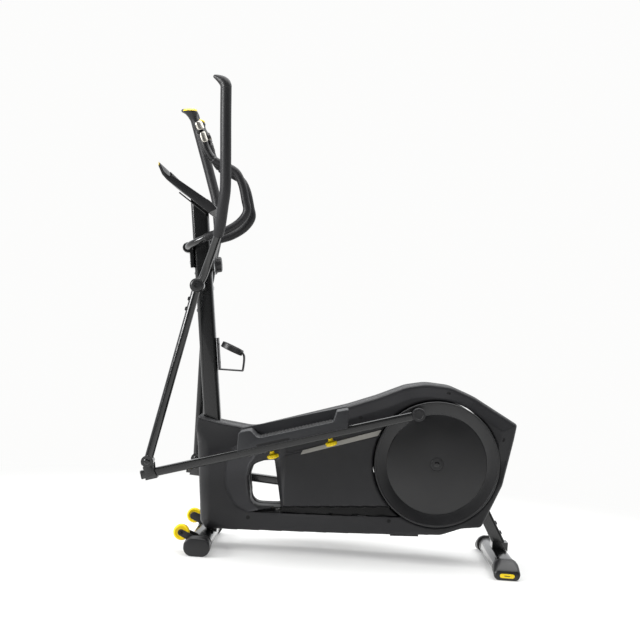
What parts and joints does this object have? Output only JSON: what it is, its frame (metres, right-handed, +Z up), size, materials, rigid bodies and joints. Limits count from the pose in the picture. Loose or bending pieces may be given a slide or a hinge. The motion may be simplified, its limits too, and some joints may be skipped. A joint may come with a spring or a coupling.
{
  "type": "elliptical trainer",
  "caption": "Rear-crank elliptical trainer with coupled swing arms, pedal rods, a cased flywheel drive, fixed pulse handlebar, console and bottle holder.",
  "frame": {"origin": "on the floor under the centre of the machine's overall box", "axes": "+X to the rear (crank end), +Y to the user's right, +Z up; the user faces -X"},
  "size_m": [1.334, 0.6986, 1.6256],
  "materials": {
    "casing_plastic": "textured injection-moulded ABS, dark grey-black",
    "gloss_black_steel": "gloss black powder coat",
    "grip_foam": "matte foam rubber",
    "yellow_plastic": "satin yellow moulded plastic",
    "zinc_steel": "zinc plated steel",
    "sensor_steel": "stainless sensor plate",
    "cast_iron": "machined cast iron",
    "belt_rubber": "ribbed rubber belt",
    "pedal_plastic": "textured moulded nylon",
    "knob_plastic": "satin black moulded plastic",
    "screen_glass": "glossy dark display cover"
  },
  "bodies": {
    "root": {"main_frame": "gloss_black_steel", "flywheel_axle": "zinc_steel", "crank_bearing_left": "zinc_steel", "crank_bearing_right": "zinc_steel", "magnet_brake": "zinc_steel", "front_stabilizer": "gloss_black_steel", "front_end_cap_left": "knob_plastic", "front_end_cap_right": "knob_plastic", "rear_stabilizer": "gloss_black_steel", "rear_end_cap_left": "knob_plastic", "rear_end_cap_right": "knob_plastic", "wheel_bracket_left": "knob_plastic", "wheel_bracket_right": "knob_plastic", "casing_left": "casing_plastic", "casing_right": "casing_plastic", "belly_plate": "casing_plastic", "drive_belt": "belt_rubber", "mast": "gloss_black_steel", "arm_axle": "gloss_black_steel", "fixed_handlebar": "gloss_black_steel", "handlebar_grip_left": "grip_foam", "handlebar_grip_right": "grip_foam", "pulse_sensor_left": "sensor_steel", "pulse_sensor_right": "sensor_steel", "handlebar_clamp": "gloss_black_steel", "handlebar_head_left": "knob_plastic", "handlebar_head_right": "knob_plastic", "console": "knob_plastic", "console_screen": "screen_glass", "console_bracket": "gloss_black_steel", "knob_base": "knob_plastic", "bottle_holder": "knob_plastic"},
    "left_arm": {"arm_link_left": "gloss_black_steel", "swing_handle_left": "gloss_black_steel", "swing_grip_left": "grip_foam"},
    "right_arm": {"arm_link_right": "gloss_black_steel", "swing_handle_right": "gloss_black_steel", "swing_grip_right": "grip_foam"},
    "left_rod": {"rod_tube_left": "gloss_black_steel", "rod_eye_left": "knob_plastic", "rod_fork_left": "gloss_black_steel"},
    "right_rod": {"rod_tube_right": "gloss_black_steel", "rod_eye_right": "knob_plastic", "rod_fork_right": "gloss_black_steel"},
    "left_pedal": {"pedal_left": "pedal_plastic"},
    "right_pedal": {"pedal_right": "pedal_plastic"},
    "left_pedal_front_knob": {"pedal_knob_front_left": "yellow_plastic"},
    "left_pedal_rear_knob": {"pedal_knob_rear_left": "yellow_plastic"},
    "right_pedal_front_knob": {"pedal_knob_front_right": "yellow_plastic"},
    "right_pedal_rear_knob": {"pedal_knob_rear_right": "yellow_plastic"},
    "crank": {"crank_disc_left": "casing_plastic", "crank_disc_right": "casing_plastic", "crank_shaft": "zinc_steel", "drive_pulley": "knob_plastic"},
    "flywheel_body": {"flywheel": "cast_iron"},
    "left_wheel": {"transport_wheel_left": "yellow_plastic"},
    "right_wheel": {"transport_wheel_right": "yellow_plastic"},
    "resistance_dial": {"resistance_knob": "knob_plastic"},
    "left_thumb_button": {"thumb_button_left": "yellow_plastic"},
    "right_thumb_button": {"thumb_button_right": "yellow_plastic"}
  },
  "joints": [
    {"name": "left_arm_swing", "type": "hinge", "parent": "root", "child": "left_arm", "pos_m": [-0.5007, -0.165, 0.9213], "axis": [0, 1, 0], "range_deg": [-22, 13]},
    {"name": "right_arm_swing", "type": "hinge", "parent": "root", "child": "right_arm", "pos_m": [-0.5007, 0.165, 0.9213], "axis": [0, 1, 0], "range_deg": [-13.5, 22.5]},
    {"name": "left_rod_pivot", "type": "hinge", "parent": "left_arm", "child": "left_rod", "pos_m": [-0.6295, -0.165, 0.3006], "axis": [0, 1, 0], "range_deg": [-13.5, 22.5]},
    {"name": "right_rod_pivot", "type": "hinge", "parent": "right_arm", "child": "right_rod", "pos_m": [-0.49321, 0.165, 0.28742], "axis": [0, 1, 0], "range_deg": [-22.5, 13.5]},
    {"name": "left_pedal_slide", "type": "slide", "parent": "left_rod", "child": "left_pedal", "axis": [0.9603, 0, 0.2789], "range_m": [-0.05, 0.05]},
    {"name": "left_front_pedal_knob_turn", "type": "hinge", "parent": "left_pedal", "child": "left_pedal_front_knob", "pos_m": [-0.19417, -0.165, 0.33706], "axis": [-0.2789, 0, 0.9603], "range_deg": [-360, 360]},
    {"name": "left_rear_pedal_knob_turn", "type": "hinge", "parent": "left_pedal", "child": "left_pedal_rear_knob", "pos_m": [0.00461, -0.165, 0.39481], "axis": [-0.2789, 0, 0.9603], "range_deg": [-360, 360]},
    {"name": "right_pedal_slide", "type": "slide", "parent": "right_rod", "child": "right_pedal", "axis": [0.9977, 0, -0.0675], "range_m": [-0.05, 0.05]},
    {"name": "right_front_pedal_knob_turn", "type": "hinge", "parent": "right_pedal", "child": "right_pedal_front_knob", "pos_m": [-0.0718, 0.165, 0.1723], "axis": [0.0675, 0, 0.9977], "range_deg": [-360, 360]},
    {"name": "right_rear_pedal_knob_turn", "type": "hinge", "parent": "right_pedal", "child": "right_pedal_rear_knob", "pos_m": [0.13473, 0.165, 0.15833], "axis": [0.0675, 0, 0.9977], "range_deg": [-360, 360]},
    {"name": "crank_spin", "type": "hinge", "parent": "root", "child": "crank", "pos_m": [0.3758, 0, 0.3542], "axis": [0, 1, 0], "continuous": true},
    {"name": "flywheel_spin", "type": "hinge", "parent": "root", "child": "flywheel_body", "pos_m": [0.003, 0, 0.296], "axis": [0, 1, 0], "continuous": true},
    {"name": "left_wheel_spin", "type": "hinge", "parent": "root", "child": "left_wheel", "pos_m": [-0.492, -0.2, 0.07], "axis": [0, 1, 0], "continuous": true},
    {"name": "right_wheel_spin", "type": "hinge", "parent": "root", "child": "right_wheel", "pos_m": [-0.492, 0.2, 0.07], "axis": [0, 1, 0], "continuous": true},
    {"name": "resistance_turn", "type": "hinge", "parent": "root", "child": "resistance_dial", "pos_m": [-0.47167, 0, 0.998], "axis": [0.9914, 0, 0.1305], "range_deg": [-135, 135]},
    {"name": "left_thumb_press", "type": "slide", "parent": "root", "child": "left_thumb_button", "axis": [0.07, 0.25, -0.9657], "range_m": [0, 0.0018], "stiffness_N_per_m": 900, "springref_m": -0.001},
    {"name": "right_thumb_press", "type": "slide", "parent": "root", "child": "right_thumb_button", "axis": [0.07, -0.25, -0.9657], "range_m": [0, 0.0018], "stiffness_N_per_m": 900, "springref_m": -0.001}
  ],
  "couplings": [
    {"joint": "right_arm_swing", "follows": "left_arm_swing", "ratio": -1},
    {"joint": "left_rod_pivot", "follows": "left_arm_swing", "ratio": -1},
    {"joint": "right_rod_pivot", "follows": "left_arm_swing", "ratio": 1},
    {"joint": "flywheel_spin", "follows": "crank_spin", "ratio": 7}
  ]
}
